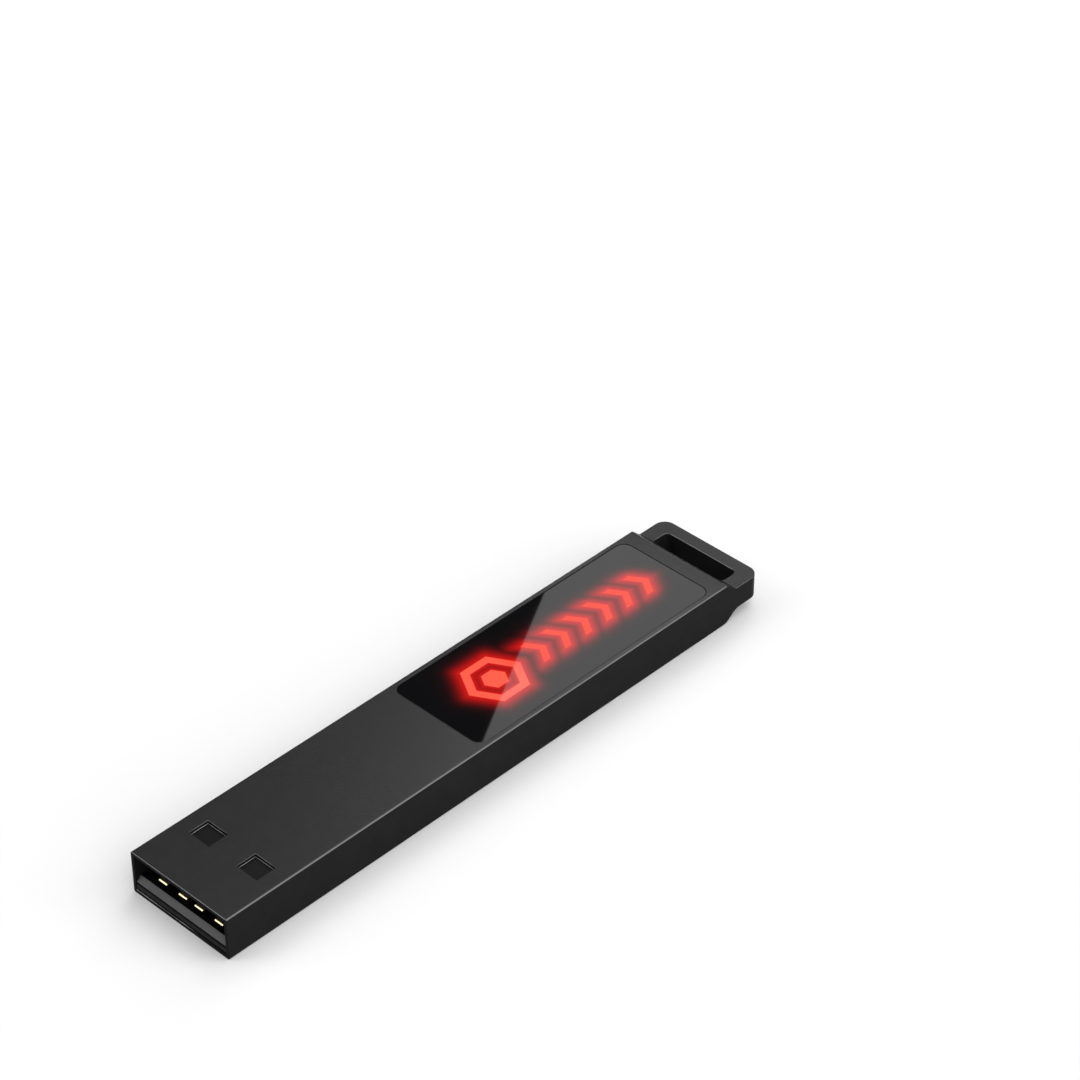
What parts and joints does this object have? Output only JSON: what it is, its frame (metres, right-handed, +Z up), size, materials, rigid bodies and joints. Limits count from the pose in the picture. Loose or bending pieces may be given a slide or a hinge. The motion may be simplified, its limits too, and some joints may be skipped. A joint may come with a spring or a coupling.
{
  "type": "usb flash drive",
  "caption": "Flat one-piece metal USB flash drive, its end a USB-A plug, with a backlit glossy window on top and a lanyard slot in the stepped tail.",
  "frame": {"origin": "middle of the underside", "axes": "+X from the mouth of the plug to the tail with the lanyard slot, +Y across the body, +Z up through the window"},
  "size_m": [0.0658, 0.012, 0.0045],
  "materials": {
    "black_metal": "fine matte black coat",
    "black_glass": "high gloss",
    "red_film": "printed, lit from behind",
    "black_film": "printed",
    "adhesive": "matte",
    "white_plastic": "milky",
    "white_board": "solder mask",
    "tape": "thin tape",
    "lamp_resin": "clear resin",
    "chip_ceramic": "matte",
    "gold": "plated",
    "red_wire": "insulation",
    "black_wire": "insulation",
    "solder": "bright",
    "board": "black solder mask",
    "mold": "moulded, matte",
    "silicon": "polished",
    "capacitor": "matte",
    "carrier_plastic": "moulded, fine grain",
    "foam": "closed cell"
  },
  "bodies": {
    "root": {"housing": "black_metal", "window_lens": "black_glass", "emblem_ink": "red_film", "mask_film": "black_film", "window_adhesive": "adhesive", "diffuser": "white_plastic", "led_board": "white_board", "board_tape": "tape", "led_bases": "white_plastic", "led_lenses": "lamp_resin", "led_resistors": "chip_ceramic", "board_pads": "gold", "wire_supply": "red_wire", "wire_return": "black_wire", "solder_joints": "solder", "memory_substrate": "board", "memory_mold": "mold", "controller_die": "silicon", "flash_dies": "silicon", "module_capacitors": "capacitor", "usb_contacts": "gold", "service_pads": "gold", "module_tape": "tape", "carrier": "carrier_plastic", "rear_foam": "foam"}
  },
  "joints": []
}
